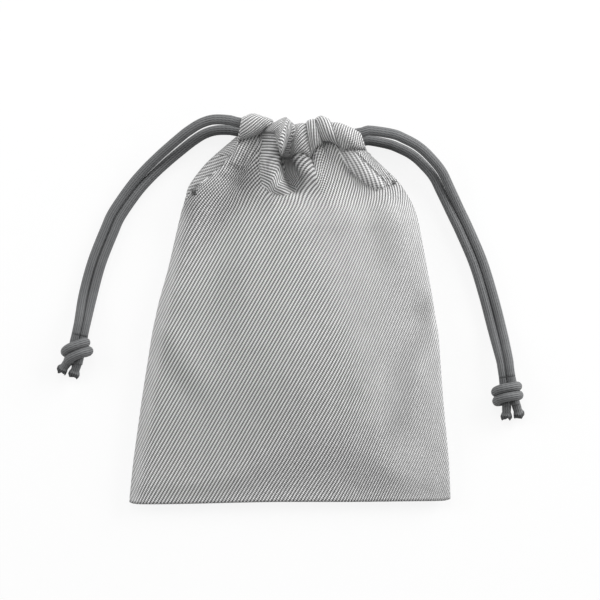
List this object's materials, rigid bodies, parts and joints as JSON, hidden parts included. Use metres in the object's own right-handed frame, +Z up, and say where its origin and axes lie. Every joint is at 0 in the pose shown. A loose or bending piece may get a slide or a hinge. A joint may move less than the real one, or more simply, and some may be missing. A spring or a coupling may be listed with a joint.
{
  "type": "drawstring pouch",
  "caption": "Soft flat twill pouch lying on its back, its gathered mouth drawn nearly shut by doubled braided cords that run through front and back casings and end in knots.",
  "frame": {"origin": "under the middle of the cloth pouch, on the surface it lies on", "axes": "+Y along the pouch towards its mouth, +X to the right seen from above, +Z up off the surface"},
  "size_m": [0.1948, 0.1633, 0.0201],
  "materials": {
    "twill": "coarse diagonal twill with a satin sheen, silver grey",
    "cord": "braided cord, dark grey",
    "melted_end": "braided cord, heat-cut at its end"
  },
  "bodies": {
    "pouch": {"front_panel": "twill", "back_panel": "twill", "front_casing": "twill", "back_casing": "twill", "left_side_seam": "twill", "right_side_seam": "twill", "bottom_seam": "twill", "left_cord_loop": "cord", "right_cord_loop": "cord"},
    "left_cord": {"left_cord_front_strand": "cord", "left_cord_back_strand": "cord", "left_knot": "cord", "left_front_tail": "melted_end", "left_back_tail": "melted_end"},
    "right_cord": {"right_cord_front_strand": "cord", "right_cord_back_strand": "cord", "right_knot": "cord", "right_front_tail": "melted_end", "right_back_tail": "melted_end"}
  },
  "joints": [
    {"name": "left_cord_pull", "type": "slide", "parent": "pouch", "child": "left_cord", "axis": [-1, 0, 0], "range_m": [0, 0.02]},
    {"name": "right_cord_pull", "type": "slide", "parent": "pouch", "child": "right_cord", "axis": [1, 0, 0], "range_m": [0, 0.02]}
  ]
}
